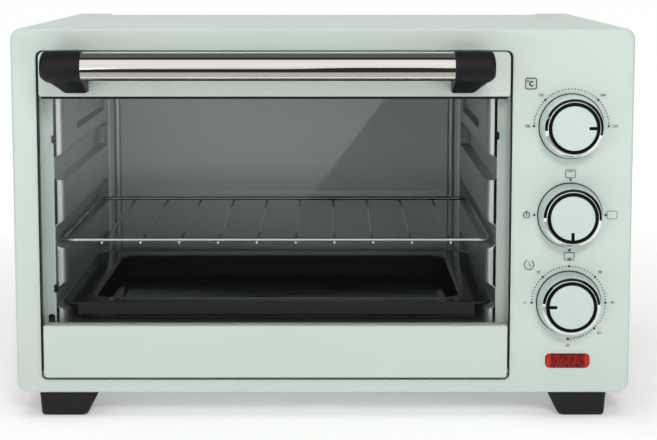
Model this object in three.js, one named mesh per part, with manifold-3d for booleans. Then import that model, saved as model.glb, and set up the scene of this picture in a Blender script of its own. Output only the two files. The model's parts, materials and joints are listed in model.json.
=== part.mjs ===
// Countertop toaster oven: a folded steel body, a drop-down glass door with a tube handle,
// three control knobs, a wire rack and a baking tray.
// Millimetres, +Z up, +X to the right as the user faces it, +Y to the back.

import * as THREE from 'three'
import { mergeVertices } from 'three/addons/utils/BufferGeometryUtils.js'
import Module from 'manifold-3d'

const wasm = await Module()
wasm.setup()

// ---- Driving dimensions -------------------------------------------------------------------

const GAP = 0.3 // between pieces that touch

// Body. The front face is the plane Y = 0, and the worktop is Z = 0.
const BODY_W = 420
const BODY_TOP = 267
const BODY_DEPTH = 300
const FOOT_H = 17
const CORNER_R = 8
const FOLD_R = 2.6
const PAN_DEPTH = 14.2
const FACE_SHEET = 0.8
const CASE_SHEET = 0.7
const TOP_DIP = 1

// Door opening, sunk into the front panel, and the mouth of the cavity behind it.
const DOOR_X = -32.5
const OPENING_HALF = 160.5
const OPENING_LOW = 26
const OPENING_HIGH = 252
const RECESS_DEPTH = 16
const RECESS_STRAIGHT = 11.6
const RECESS_DRAFT = { straight: 0.3, slope: 2.3 }
const MOUTH_HALF = 151.9
const MOUTH_LOW = 46
const MOUTH_HIGH = 236

// Door.
const DOOR_HALF = 159
const RAIL_DEPTH = 11
const RAIL_SHEET = 1.4
const UPPER_RAIL = [221, 251.3]
const LOWER_RAIL = [27.4, 64]
const GLASS_Y = [3.7, 7.3]
const GLASS_Z = [58, 227]
const HINGE_Y = 4.5
const HINGE_Z = 32
const PIN_R = 2
const ARM_X = -187.6
const ARM_R = 30
const ARM_WIDTH = 6
const ARM_SHEET = 2.4

// Handle.
const HANDLE_X = -35.6
const HANDLE_Y = -35
const HANDLE_Z = 243.2
const HANDLE_R = 9.2
const BRACKET_R = 10.4
const BRACKET_X = [-183.7, -157.4]
const BRACKET_LOW = 224.4

// Cavity.
const CAVITY_HALF = 144.4
const CAVITY_FLARE = { half: 150, depth: 7 }
const CAVITY_BACK = 262
const CAVITY_SHEET = 0.5
const GROOVE_DEPTH = 7.4
const GROOVES = [[73, 91], [116, 134], [163, 181]]
const HEATER_R = 3.25
const HEATER_BEAD_R = 4.2
const HEATER_Y = [90, 185]
const HEATER_Z = { upper: 219, lower: 53 }

// Wire rack and baking tray.
const RACK_Z = 118.6
const RACK_HALF = 149.6
const RACK_Y = [31, 242]
const RACK_WIRE_R = 1.5
const CROSS_WIRE_R = 1
const CROSS_WIRES = 10
const CROSS_PITCH = 27
const TRAY_RIM_Z = 75
const TRAY_HALF = 150.6
const TRAY_Y = [28, 240]
const TRAY_FLANGE = 20
const TRAY_DEPTH = 15.6
const TRAY_SHEET = 0.8

// Controls.
const KNOB_X = 167.7
const KNOBS = [
  { name: 'temperature', z: 201, pointer: 0 },
  { name: 'function', z: 140.5, pointer: 270 },
  { name: 'timer', z: 80, pointer: 180 },
]
const KNOB_BASE_R = 21.7
const KNOB_TOP_R = 19.9
const KNOB_HEIGHT = 14
const SHAFT_R = 3
const BRACKET_PLATE_Y = 14
const INDICATOR = [152.6, 182.6, 34.75, 44.25]

// Feet and inlet.
const FOOT_OUTER_X = 195
const FOOT_INNER_X = 154.6
const FOOT_ROWS = { front: 2.5, rear: 252 }
const FOOT_LENGTH = 40
const GLAND_X = 172
const GLAND_Z = 44
const GLAND_REAR = 304

const HALF_W = BODY_W / 2
const CENTRE_Y = (GLAND_REAR + HANDLE_Y - BRACKET_R) / 2

// ---- Looks --------------------------------------------------------------------------------

const LOOKS = {
  mint: { color: 0xcbdcd3, roughness: 0.38, metalness: 0 },
  glass: { color: 0x5b6663, roughness: 0.04, metalness: 0, transparent: true, opacity: 0.35 },
  polished: { color: 0xd9d6d0, roughness: 0.2, metalness: 1 },
  blackPlastic: { color: 0x2b2b2c, roughness: 0.5, metalness: 0 },
  enamel: { color: 0x1b1b1c, roughness: 0.15, metalness: 0 },
  zinc: { color: 0x9da2a3, roughness: 0.35, metalness: 1 },
  ceramic: { color: 0xe6e0d2, roughness: 0.7, metalness: 0 },
  brown: { color: 0x5a3522, roughness: 0.6, metalness: 0 },
  red: { color: 0xb0231c, roughness: 0.2, metalness: 0 },
}

// ---- Solids -------------------------------------------------------------------------------

const TURN_STEPS = 24
const ARC_STEPS = 3

const radians = (degrees) => THREE.MathUtils.degToRad(degrees)
const count = (n) => [...Array(n).keys()]
const grow = ([u0, u1, v0, v1], d) => [u0 - d, u1 + d, v0 - d, v1 + d]

function signedVolume(positions, index) {
  const corner = (i) => new THREE.Vector3().fromArray(positions, index[i] * 3)
  let sum = 0
  for (let i = 0; i < index.length; i += 3) {
    sum += corner(i).dot(corner(i + 1).cross(corner(i + 2)))
  }
  return sum / 6
}

// Turns a closed three.js geometry into a solid with its faces pointing out.
function solid(geometry) {
  geometry.deleteAttribute('normal')
  geometry.deleteAttribute('uv')
  const merged = mergeVertices(geometry, 1e-4)
  const positions = Float32Array.from(merged.attributes.position.array)
  const index = []
  for (let i = 0; i < merged.index.count; i += 3) {
    const [a, b, c] = merged.index.array.slice(i, i + 3)
    if (a !== b && b !== c && c !== a) {
      index.push(a, b, c)
    }
  }
  if (signedVolume(positions, index) < 0) {
    index.reverse()
  }
  const triVerts = Uint32Array.from(index)
  return new wasm.Manifold(new wasm.Mesh({ numProp: 3, vertProperties: positions, triVerts }))
}

const joined = (...solids) => solids.reduce((whole, next) => whole.add(next))
const without = (base, ...cutters) => cutters.reduce((rest, next) => rest.subtract(next), base)

function block(x, y, z) {
  const box = new THREE.BoxGeometry(x[1] - x[0], y[1] - y[0], z[1] - z[0])
  return solid(box.translate((x[0] + x[1]) / 2, (y[0] + y[1]) / 2, (z[0] + z[1]) / 2))
}

// Rounded rectangle as points; radii is one number, or one for each corner from the low one round.
function outline([u0, u1, v0, v1], radii) {
  const r = Array.isArray(radii) ? radii : [radii, radii, radii, radii]
  const corners = [
    [u0 + r[0], v0 + r[0], 180],
    [u1 - r[1], v0 + r[1], 270],
    [u1 - r[2], v1 - r[2], 0],
    [u0 + r[3], v1 - r[3], 90],
  ]
  return corners.flatMap(([u, v, start], i) =>
    count(ARC_STEPS + 1).map((k) => {
      const angle = radians(start + (90 * k) / ARC_STEPS)
      return new THREE.Vector2(u + r[i] * Math.cos(angle), v + r[i] * Math.sin(angle))
    }),
  )
}

const PLACE = {
  x: (p, at) => [at, p.x, p.y],
  y: (p, at) => [p.x, at, p.y],
  z: (p, at) => [p.x, p.y, at],
}

// Closed solid through rounded rectangles stacked along an axis: each is { at, box, r }.
function loft(axis, sections) {
  const rings = sections.map(({ box, r }) => outline(box, r))
  const n = rings[0].length
  const positions = rings.flatMap((ring, s) => ring.flatMap((p) => PLACE[axis](p, sections[s].at)))
  const last = (rings.length - 1) * n
  const index = []
  for (let i = 1; i < n - 1; i++) {
    index.push(0, i + 1, i, last, last + i, last + i + 1)
  }
  for (let a = 0; a < last; a++) {
    const b = a - (a % n) + ((a + 1) % n)
    index.push(a, b, b + n, a, b + n, a + n)
  }
  const geometry = new THREE.BufferGeometry()
  geometry.setAttribute('position', new THREE.Float32BufferAttribute(positions, 3))
  geometry.setIndex(index)
  return solid(geometry)
}

// Slab between y0 and y1 whose front edge is rounded by a fold radius.
function foldedSlab(box, radii, y0, y1, fold) {
  const shrink = (r, d) => (Array.isArray(r) ? r.map((v) => shrink(v, d)) : Math.max(r - d, 0.05))
  const front = count(ARC_STEPS + 1).map((k) => {
    const angle = (Math.PI / 2) * (k / ARC_STEPS)
    const inset = fold * (1 - Math.sin(angle))
    return { at: y0 + fold * (1 - Math.cos(angle)), box: grow(box, -inset), r: shrink(radii, inset) }
  })
  return loft('y', [...front, { at: y1, box, r: radii }])
}

// Straight prism of a rounded rectangle along an axis.
function bar(axis, box, r, from, to) {
  return loft(axis, [{ at: from, box, r }, { at: to, box, r }])
}

// Prism along X of a shape drawn in the plane of Y and Z.
function prismX(shape, x0, x1, curveSegments = 8) {
  const geometry = new THREE.ExtrudeGeometry(shape, { depth: x1 - x0, bevelEnabled: false, curveSegments })
  const turn = new THREE.Matrix4().makeBasis(
    new THREE.Vector3(0, 1, 0),
    new THREE.Vector3(0, 0, 1),
    new THREE.Vector3(1, 0, 0),
  )
  return solid(geometry.applyMatrix4(turn).translate(x0, 0, 0))
}

const latheOf = (profile, steps) =>
  new THREE.LatheGeometry(profile.map(([r, along]) => new THREE.Vector2(r, along)), steps)

const turnedY = (profile, x, z, steps = TURN_STEPS) => solid(latheOf(profile, steps).translate(x, 0, z))

const turnedX = (profile, y, z, steps = TURN_STEPS) =>
  solid(latheOf(profile, steps).rotateZ(-Math.PI / 2).translate(0, y, z))

const disc = (r, from, to) => [[0, from], [r, from], [r, to], [0, to]]
const tube = (inner, outer, from, to) => [
  [inner, from],
  [outer, from],
  [outer, to],
  [inner, to],
  [inner, from],
]

// Route sampled exactly at its own points, for wires.
class Route extends THREE.Curve {
  constructor(points) {
    super()
    this.points = points
  }

  getPoint(t) {
    return this.points[Math.round(t * (this.points.length - 1))].clone()
  }

  getPointAt(u) {
    return this.getPoint(u)
  }

  getSpacedPoints(divisions) {
    return this.getPoints(divisions)
  }

  getTangentAt(u) {
    const i = Math.round(u * (this.points.length - 1))
    const before = this.points[Math.max(i - 1, 0)]
    const after = this.points[Math.min(i + 1, this.points.length - 1)]
    return after.clone().sub(before).normalize()
  }
}

function wire(points, radius, sides) {
  const ring = count(sides).map((k) => {
    const angle = (2 * Math.PI * (k + 0.5)) / sides
    return new THREE.Vector2(radius * Math.cos(angle), radius * Math.sin(angle))
  })
  const extrudePath = new Route(points)
  const steps = points.length - 1
  return solid(new THREE.ExtrudeGeometry(new THREE.Shape(ring), { steps, extrudePath }))
}

// ---- Assembly -----------------------------------------------------------------------------

const oven = new THREE.Group()
oven.position.y = -CENTRE_Y

function add(name, body, look) {
  const { vertProperties, triVerts } = body.getMesh()
  const geometry = new THREE.BufferGeometry()
  geometry.setAttribute('position', new THREE.Float32BufferAttribute(vertProperties, 3))
  geometry.setIndex([...triVerts])
  geometry.computeVertexNormals()
  const mesh = new THREE.Mesh(geometry, new THREE.MeshStandardMaterial(LOOKS[look]))
  mesh.name = name
  oven.add(mesh)
}

// Cutters for a grid of ventilation slots; axis is the way they go through the sheet.
function ventSlots(axis, columns, rows, size, through) {
  const slot = (u, v) => {
    const across = [u - size[0] / 2, u + size[0] / 2]
    const up = [v - size[1] / 2, v + size[1] / 2]
    return { x: [through, across, up], y: [across, through, up], z: [across, up, through] }[axis]
  }
  return columns.flatMap((u) => rows.map((v) => block(...slot(u, v))))
}

const spaced = (first, step, n) => count(n).map((k) => first + step * k)

// ---- Casing -------------------------------------------------------------------------------

const OPENING = [DOOR_X - OPENING_HALF, DOOR_X + OPENING_HALF, OPENING_LOW, OPENING_HIGH]
const OPENING_RADII = [4, 4, 4.5, 4.5]

// Door recess: nearly straight beside the door, then sloping in to its flange.
function recess(from, extra) {
  const section = (at, inset) => ({ at, box: grow(OPENING, extra - inset), r: OPENING_RADII.map((r) => r + extra) })
  return loft('y', [
    section(from, 0),
    section(RECESS_STRAIGHT + extra, RECESS_DRAFT.straight),
    section(RECESS_DEPTH + extra, RECESS_DRAFT.slope),
  ])
}

function frontPanel() {
  const face = [-HALF_W, HALF_W, FOOT_H, BODY_TOP]
  const pan = without(
    foldedSlab(face, CORNER_R, 0, PAN_DEPTH, FOLD_R),
    foldedSlab(grow(face, -FACE_SHEET), CORNER_R - FACE_SHEET, FACE_SHEET, PAN_DEPTH + 1, FOLD_R - FACE_SHEET),
  )
  const mouth = [DOOR_X - MOUTH_HALF, DOOR_X + MOUTH_HALF, MOUTH_LOW, MOUTH_HIGH]
  const armSlot = [ARM_X - 2.4, ARM_X + 2.4, 50, 69]
  const hingeHoles = [-1, 1].map((side) => {
    const x = DOOR_X + side * OPENING_HALF
    return turnedX(disc(PIN_R + 0.4, x - 3, x + 3), HINGE_Y, HINGE_Z, 16)
  })
  const shaftHoles = KNOBS.map(({ z }) => turnedY(disc(SHAFT_R + 1.5, -1, 3), KNOB_X, z, 16))
  return without(
    joined(pan, recess(FACE_SHEET / 2, FACE_SHEET)),
    recess(-1, 0),
    bar('y', mouth, 3, RECESS_DEPTH - 1, RECESS_DEPTH + 2),
    bar('y', armSlot, [1, 1, 2.4, 2.4], RECESS_DEPTH - 1, RECESS_DEPTH + 2),
    bar('y', grow(INDICATOR, GAP), 2.3, -1, 3),
    ...hingeHoles,
    ...shaftHoles,
  )
}

// Top and both sides in one sheet, with a shallow dip in the top and slots in the sides.
function outerCover() {
  const y = [PAN_DEPTH + GAP, BODY_DEPTH]
  const low = FOOT_H + 2
  const radii = [0.05, 0.05, CORNER_R, CORNER_R]
  const outside = bar('y', [-HALF_W, HALF_W, low, BODY_TOP], radii, ...y)
  const insideRadii = radii.map((r) => Math.max(r - CASE_SHEET, 0.05))
  const inside = [-HALF_W + CASE_SHEET, HALF_W - CASE_SHEET, low - 1, BODY_TOP - CASE_SHEET]
  const dip = [-176, 176, 44, BODY_DEPTH + 10]
  const floor = BODY_TOP - TOP_DIP
  const sunk = bar('z', [-177, 177, 43, BODY_DEPTH], 6, floor - CASE_SHEET, floor + GAP)
  const dipCutter = loft('z', [
    { at: floor, box: dip, r: 6 },
    { at: BODY_TOP + 1, box: grow(dip, 3), r: 9 },
  ])
  const slots = ventSlots('x', spaced(176, 10, 10), [76, 222], [4, 34], [-HALF_W - 1, HALF_W + 1])
  return without(joined(without(outside, bar('y', inside, insideRadii, y[0] - 1, y[1] + 1)), sunk), dipCutter, ...slots)
}

function basePlate() {
  const half = HALF_W - CASE_SHEET - GAP
  const y = [PAN_DEPTH + GAP, BODY_DEPTH - 4]
  const top = FOOT_H + CASE_SHEET
  const hollow = block([CASE_SHEET - half, half - CASE_SHEET], [y[0] - 1, y[1] + 1], [top, FOOT_H + 20])
  const channel = without(block([-half, half], y, [FOOT_H, FOOT_H + 13]), hollow)
  const springTab = block([ARM_X - 3, ARM_X + 3], [124, 125], [top - GAP, FOOT_H + 16])
  const slots = ventSlots('z', spaced(-120, 24, 8), [120, 180], [14, 4], [FOOT_H - 1, FOOT_H + 2])
  return without(joined(channel, springTab), ...slots)
}

function rearPanel() {
  const half = HALF_W - CASE_SHEET - GAP
  const box = [-half, half, FOOT_H + 1, BODY_TOP - TOP_DIP - CASE_SHEET - GAP]
  const y = [BODY_DEPTH - 3.5, BODY_DEPTH - 3.5 + CASE_SHEET]
  const slots = ventSlots('y', spaced(-140, 25, 12), [70, 82, 208, 220], [18, 4], [y[0] - 1, y[1] + 1])
  const glandHole = turnedY(disc(6.5, y[0] - 1, y[1] + 1), GLAND_X, GLAND_Z, 24)
  return without(bar('y', box, [1, 1, CORNER_R - 1, CORNER_R - 1], ...y), ...slots, glandHole)
}

// Moulded foot, narrower at the floor, leaning in from the inner side.
function foot(side, y0) {
  const span = (outer, inner) => [side * outer, side * inner].sort((a, b) => a - b)
  const y = [y0, y0 + FOOT_LENGTH]
  return loft('z', [
    { at: 0, box: [...span(FOOT_OUTER_X - 3.5, FOOT_INNER_X + 9.5), y[0] + 3, y[1] - 3], r: 4 },
    { at: 2.2, box: [...span(FOOT_OUTER_X - 1.2, FOOT_INNER_X + 7), y[0] + 1, y[1] - 1], r: 4 },
    { at: FOOT_H - GAP, box: [...span(FOOT_OUTER_X, FOOT_INNER_X), ...y], r: 4 },
  ])
}

// ---- Cavity -------------------------------------------------------------------------------

// Side wall seen from above, flared out to the mouth at its front edge.
function wallProfile(side, front) {
  const bend = front + CAVITY_FLARE.depth
  const inner = [[CAVITY_FLARE.half, front], [CAVITY_HALF, bend], [CAVITY_HALF, CAVITY_BACK - GAP]]
  const outer = inner.map(([half, y]) => [half + CAVITY_SHEET, y]).reverse()
  return new THREE.Shape([...inner, ...outer].map(([half, y]) => new THREE.Vector2(DOOR_X + side * half, y)))
}

// Pressed runner in a cavity side wall: a groove that opens towards the middle of the oven.
function groove(side, y, z, depth, extra) {
  const x = (d) => DOOR_X + side * (CAVITY_HALF + d)
  const mouth = grow([...y, ...z], extra)
  const floor = [mouth[0], mouth[1] - depth, mouth[2] + 0.6, mouth[3] - 4]
  return loft('x', [
    { at: x(extra ? CAVITY_SHEET / 2 : -1), box: mouth, r: 1.5 },
    { at: x(0.3), box: mouth, r: 1.5 },
    { at: x(depth + extra), box: floor, r: 1.5 },
  ])
}

function cavitySide(side) {
  const front = RECESS_DEPTH + FACE_SHEET + GAP
  const x = [CAVITY_HALF, CAVITY_HALF + CAVITY_SHEET].map((d) => DOOR_X + side * d).sort((a, b) => a - b)
  const profile = new THREE.ExtrudeGeometry(wallProfile(side, front), { depth: MOUTH_HIGH - MOUTH_LOW, bevelEnabled: false })
  const sheet = solid(profile.translate(0, 0, MOUTH_LOW))
  const runners = GROOVES.map((z) => ({ y: [front + CAVITY_SHEET, 250], z, depth: GROOVE_DEPTH }))
  const alcove = { y: [80, 236], z: [192, 205], depth: 4 }
  const pressings = [...runners, alcove]
  const shells = pressings.map(({ y, z, depth }) => groove(side, y, z, depth, CAVITY_SHEET))
  const hollows = [
    ...runners.map(({ y, z, depth }) => groove(side, [front - 8, y[1]], z, depth, 0)),
    groove(side, alcove.y, alcove.z, alcove.depth, 0),
  ]
  const heaterHoles = Object.values(HEATER_Z).flatMap((z) =>
    HEATER_Y.map((y) => turnedX(disc(HEATER_BEAD_R + 0.4, x[0] - 2, x[1] + 2), y, z, 16)),
  )
  return without(joined(sheet, ...shells), ...hollows, ...heaterHoles)
}

function cavityRear() {
  const half = CAVITY_HALF + CAVITY_SHEET
  const y = [CAVITY_BACK, CAVITY_BACK + CAVITY_SHEET]
  const sheet = block([DOOR_X - half, DOOR_X + half], y, [MOUTH_LOW - 0.8, MOUTH_HIGH + 0.8])
  const beads = [-1, 1].map((side) => [DOOR_X + side * 140.5 - 3.2, DOOR_X + side * 140.5 + 3.2, 56, 226])
  const ridge = (box, lift, back) => loft('y', [
    { at: CAVITY_BACK - lift, box: grow(box, -1), r: 1 },
    { at: back, box, r: 1 },
  ])
  return without(
    joined(sheet, ...beads.map((box) => ridge(box, 2, CAVITY_BACK + CAVITY_SHEET))),
    ...beads.map((box) => ridge(grow(box, -CAVITY_SHEET), 2 - CAVITY_SHEET, CAVITY_BACK + 1)),
  )
}

function cavityDeck(z) {
  const y = [RECESS_DEPTH + FACE_SHEET + GAP, CAVITY_BACK - GAP]
  const half = CAVITY_HALF + CAVITY_SHEET
  return block([DOOR_X - half, DOOR_X + half], y, [z, z + CAVITY_SHEET])
}

const holderX = (side) => [152.6, 162.5].map((d) => DOOR_X + side * d).sort((a, b) => a - b)

function heater(y, z) {
  const far = 160.5
  const bead = 152.8
  return turnedX(
    [
      [0, DOOR_X - far],
      [HEATER_BEAD_R, DOOR_X - far],
      [HEATER_BEAD_R, DOOR_X - bead],
      [HEATER_R, DOOR_X - bead],
      [HEATER_R, DOOR_X + bead],
      [HEATER_BEAD_R, DOOR_X + bead],
      [HEATER_BEAD_R, DOOR_X + far],
      [0, DOOR_X + far],
    ],
    y,
    z,
    16,
  )
}

function heaterHolder(side, z) {
  const x = holderX(side)
  const body = bar('x', [HEATER_Y[0] - 10, HEATER_Y[1] + 10, z - 6.5, z + 6.5], 3, ...x)
  const sockets = HEATER_Y.map((y) => turnedX(disc(HEATER_BEAD_R + 0.4, x[0] - 1, x[1] + 1), y, z, 16))
  return without(body, ...sockets)
}

// ---- Door ---------------------------------------------------------------------------------

const railBox = (z) => [DOOR_X - DOOR_HALF, DOOR_X + DOOR_HALF, ...z]
const glassSlot = (z) => block([DOOR_X - DOOR_HALF - 1, DOOR_X + DOOR_HALF + 1], [GLASS_Y[0] - GAP, GLASS_Y[1] + GAP], z)

function upperRail() {
  const pocket = [DOOR_X - DOOR_HALF + RAIL_SHEET, DOOR_X + DOOR_HALF - RAIL_SHEET, GLASS_Z[1] + 2, UPPER_RAIL[1] - RAIL_SHEET]
  return without(
    foldedSlab(railBox(UPPER_RAIL), [2, 2, 4, 4], 0, RAIL_DEPTH, 1.2),
    bar('y', pocket, 1, RAIL_SHEET, RAIL_DEPTH + 1),
    glassSlot([UPPER_RAIL[0] - 1, GLASS_Z[1] + GAP]),
  )
}

function lowerRail() {
  const pocket = [DOOR_X - DOOR_HALF + 1.6, DOOR_X + DOOR_HALF - 1.6, LOWER_RAIL[0] + 1.6, GLASS_Z[0] - 2]
  const pinHole = turnedX(disc(PIN_R + GAP, DOOR_X - DOOR_HALF - 1, DOOR_X + DOOR_HALF + 1), HINGE_Y, HINGE_Z, 16)
  return without(
    foldedSlab(railBox(LOWER_RAIL), 2.2, 0, RAIL_DEPTH, 2),
    bar('y', pocket, 1, 1.6, RAIL_DEPTH + 1),
    glassSlot([GLASS_Z[0] - GAP, LOWER_RAIL[1] + 1]),
    pinHole,
  )
}

function hingePin(side) {
  const x = [DOOR_HALF - 6, OPENING_HALF + 4].map((d) => DOOR_X + side * d).sort((a, b) => a - b)
  return turnedX(disc(PIN_R, ...x), HINGE_Y, HINGE_Z, 16)
}

// Curved arm on the hinge's own centre, so it slides lengthways through its slot.
function doorArm() {
  const [tail, head] = [radians(-10), radians(75)]
  const shape = new THREE.Shape()
  shape.absarc(HINGE_Y, HINGE_Z, ARM_R + ARM_WIDTH / 2, tail, head, false)
  shape.absarc(HINGE_Y, HINGE_Z, ARM_R - ARM_WIDTH / 2, head, tail, true)
  return prismX(shape, ARM_X - ARM_SHEET / 2, ARM_X + ARM_SHEET / 2, 12)
}

function doorSpring() {
  const turns = 7
  const steps = 7
  const [y0, y1] = [39, 123]
  const z = FOOT_H + 11
  const coil = count(turns * steps + 1).map((k) => {
    const angle = (2 * Math.PI * k) / steps
    return new THREE.Vector3(
      ARM_X + 3.2 * Math.cos(angle),
      y0 + ((y1 - y0) * k) / (turns * steps),
      z + 3.2 * Math.sin(angle),
    )
  })
  return wire(coil, 0.6, 5)
}

const handleProfile = tube(HANDLE_R - 1, HANDLE_R, BRACKET_X[0] + 4, 2 * HANDLE_X - BRACKET_X[0] - 4)

// Plastic end that holds the tube and stands on the upper rail.
function handleBracket(side) {
  const shape = new THREE.Shape()
  shape.moveTo(-GAP, BRACKET_LOW)
  shape.lineTo(-GAP, 250)
  shape.lineTo(HANDLE_Y + 2, HANDLE_Z + BRACKET_R)
  shape.absarc(HANDLE_Y, HANDLE_Z, BRACKET_R, radians(80), radians(285), false)
  shape.lineTo(-14, 226)
  const [outer, inner] = BRACKET_X.map((x) => HANDLE_X + side * (HANDLE_X - x))
  const body = prismX(shape, Math.min(outer, inner), Math.max(outer, inner), 10)
  const bore = [outer - side * 3.7, inner - side].sort((a, b) => a - b)
  return without(body, turnedX(disc(HANDLE_R + GAP, ...bore), HANDLE_Y, HANDLE_Z))
}

// ---- Controls -----------------------------------------------------------------------------

const KNOB_PROFILE = [
  [0, -KNOB_HEIGHT],
  [KNOB_TOP_R, -KNOB_HEIGHT],
  [KNOB_BASE_R, -0.6],
  [KNOB_BASE_R - 1.5, -0.6],
  [KNOB_TOP_R - 1.3, 1.6 - KNOB_HEIGHT],
  [6, 1.6 - KNOB_HEIGHT],
  [6, -0.9],
  [SHAFT_R + 0.35, -0.9],
  [SHAFT_R + 0.35, 2.5 - KNOB_HEIGHT],
  [0, 2.5 - KNOB_HEIGHT],
]

const RING_PROFILE = [
  [17.2, -14.3],
  [19.5, -14.3],
  [19.6, -15.4],
  [18.8, -16.2],
  [17.6, -16.2],
  [17.2, -15.8],
  [17.2, -14.3],
]

// Bar from the rim towards the middle, turned to the pointer's angle.
function pointerBar(z, angle, width, inner, outer, y) {
  const geometry = new THREE.BoxGeometry(outer - inner, y[1] - y[0], width)
  geometry.translate((outer + inner) / 2, (y[0] + y[1]) / 2, 0)
  return solid(geometry.rotateY(-radians(angle)).translate(KNOB_X, 0, z))
}

function knobInsert(z, pointer) {
  return joined(
    turnedY(disc(16.9, -15.3, -14.3), KNOB_X, z),
    turnedY(tube(15.1, 16.9, -16.6, -14.8), KNOB_X, z),
    pointerBar(z, pointer, 2.1, 9.6, 15.5, [-16.9, -15]),
  )
}

function knobCap(z, pointer) {
  const face = turnedY([[0, -17], [14.3, -17], [14.8, -16.5], [14.8, -15.6], [0, -15.6]], KNOB_X, z)
  return face.subtract(pointerBar(z, pointer, 2.7, 9.3, 16, [-18, -15]))
}

function controlBracket() {
  const y = [BRACKET_PLATE_Y, BRACKET_PLATE_Y + 1]
  const plate = bar('y', [136, 202, 54, 227], 4, ...y)
  return without(plate, ...KNOBS.map(({ z }) => turnedY(disc(SHAFT_R + 1.5, y[0] - 1, y[1] + 1), KNOB_X, z, 16)))
}

const BEHIND_PLATE = BRACKET_PLATE_Y + 1 + GAP

// Body of a rotary control behind the bracket plate, with a row of blade terminals.
function rotaryBody(z, halfX, halfZ, depth, blades) {
  const back = BEHIND_PLATE + depth
  const body = bar('y', [KNOB_X - halfX, KNOB_X + halfX, z - halfZ, z + halfZ], 3, BEHIND_PLATE, back)
  const pitch = (2 * halfX - 8) / Math.max(blades - 1, 1)
  const terminals = spaced(KNOB_X - (pitch * (blades - 1)) / 2, pitch, blades).map((x) =>
    block([x - 2.4, x + 2.4], [back - 1, back + 8], [z + halfZ - 5.4, z + halfZ - 4.6]),
  )
  return joined(body, ...terminals)
}

// Domed bell behind the timer, open towards it.
function timerBell() {
  const y0 = BEHIND_PLATE + 30 + GAP
  return turnedY(
    [[14, y0], [15, y0], [14.4, y0 + 4], [11, y0 + 8], [0, y0 + 9.5], [0, y0 + 8.5], [10.5, y0 + 7], [13.5, y0 + 3.6], [14, y0]],
    KNOB_X,
    KNOBS[2].z - 8,
    24,
  )
}

function indicatorLens() {
  return joined(
    foldedSlab(INDICATOR, 2, -1.2, 4.5, 0.8),
    bar('y', grow(INDICATOR, 2), 3, FACE_SHEET + GAP, 2.6),
  )
}

function indicatorHousing() {
  const terminals = [-7, 7].map((dx) => block([KNOB_X + dx - 2, KNOB_X + dx + 2], [20, 29], [39.1, 39.9]))
  return joined(bar('y', grow(INDICATOR, -1.2), 1.5, 4.5 + GAP, 21), ...terminals)
}

function cordGland() {
  const panel = BODY_DEPTH - 3.5
  return turnedY(
    [
      [4, panel - 7],
      [6, panel - 7],
      [8, panel - GAP],
      [6.2, panel - GAP],
      [6.2, panel + CASE_SHEET + GAP],
      [9.5, panel + CASE_SHEET + GAP],
      [9.5, GLAND_REAR - 2],
      [7.5, GLAND_REAR],
      [4, GLAND_REAR],
      [4, panel - 7],
    ],
    GLAND_X,
    GLAND_Z,
    24,
  )
}

function terminalBlock() {
  const [z0, z1] = [FOOT_H + CASE_SHEET + GAP, FOOT_H + 15]
  const body = bar('z', [150, 186, 262, 276], 1.5, z0, z1)
  const wells = [156, 168, 180].map((x) => bar('z', [x - 2.5, x + 2.5, 266.5, 271.5], 2.4, z1 - 4, z1 + 1))
  return without(body, ...wells)
}

// ---- Rack and tray ------------------------------------------------------------------------

// Half of the rack's frame wire, from the middle of the front to the middle of the back.
function rackHalf(side) {
  const r = 10
  const edge = DOOR_X + side * RACK_HALF
  const bend = (y, start) => count(5).map((k) => {
    const angle = radians(start + 22.5 * k)
    return new THREE.Vector3(edge - side * r * (1 - Math.sin(angle)), y - r * Math.cos(angle), RACK_Z)
  })
  const end = (y) => new THREE.Vector3(DOOR_X - side * 0.5, y, RACK_Z)
  const points = [end(RACK_Y[0]), ...bend(RACK_Y[0] + r, 0), ...bend(RACK_Y[1] - r, 90), end(RACK_Y[1])]
  return wire(points, RACK_WIRE_R, 8)
}

function wireRack() {
  const first = DOOR_X - (CROSS_PITCH * (CROSS_WIRES - 1)) / 2
  const z = RACK_Z - RACK_WIRE_R - CROSS_WIRE_R + 0.5
  const crossing = spaced(first, CROSS_PITCH, CROSS_WIRES).map((x) =>
    wire([new THREE.Vector3(x, RACK_Y[0] - 1, z), new THREE.Vector3(x, RACK_Y[1] + 1, z)], CROSS_WIRE_R, 8),
  )
  return joined(rackHalf(-1), rackHalf(1), ...crossing)
}

function bakingTray() {
  const rim = [DOOR_X - TRAY_HALF, DOOR_X + TRAY_HALF, ...TRAY_Y]
  const well = grow(rim, -TRAY_FLANGE)
  const bottom = TRAY_RIM_Z - TRAY_DEPTH
  const basin = (extra, top) => loft('z', [
    { at: bottom - extra + TRAY_SHEET, box: grow(well, extra - 7), r: 8 },
    { at: bottom + 4, box: grow(well, extra - 4), r: 12 },
    { at: top, box: grow(well, extra), r: 16 },
  ])
  const lip = block([rim[0] + 12, rim[1] - 12], [TRAY_Y[0], TRAY_Y[0] + TRAY_SHEET], [66, TRAY_RIM_Z - 0.2])
  const flange = bar('z', rim, 12, TRAY_RIM_Z - TRAY_SHEET, TRAY_RIM_Z)
  return without(joined(flange, lip, basin(TRAY_SHEET, TRAY_RIM_Z - 0.1)), basin(0, TRAY_RIM_Z + 1))
}

// ---- Parts list ---------------------------------------------------------------------------

add('front_panel', frontPanel(), 'mint')
add('outer_cover', outerCover(), 'mint')
add('base_plate', basePlate(), 'zinc')
add('rear_panel', rearPanel(), 'zinc')

for (const [row, y] of Object.entries(FOOT_ROWS)) {
  add(`foot_${row}_left`, foot(-1, y), 'blackPlastic')
  add(`foot_${row}_right`, foot(1, y), 'blackPlastic')
}

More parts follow.
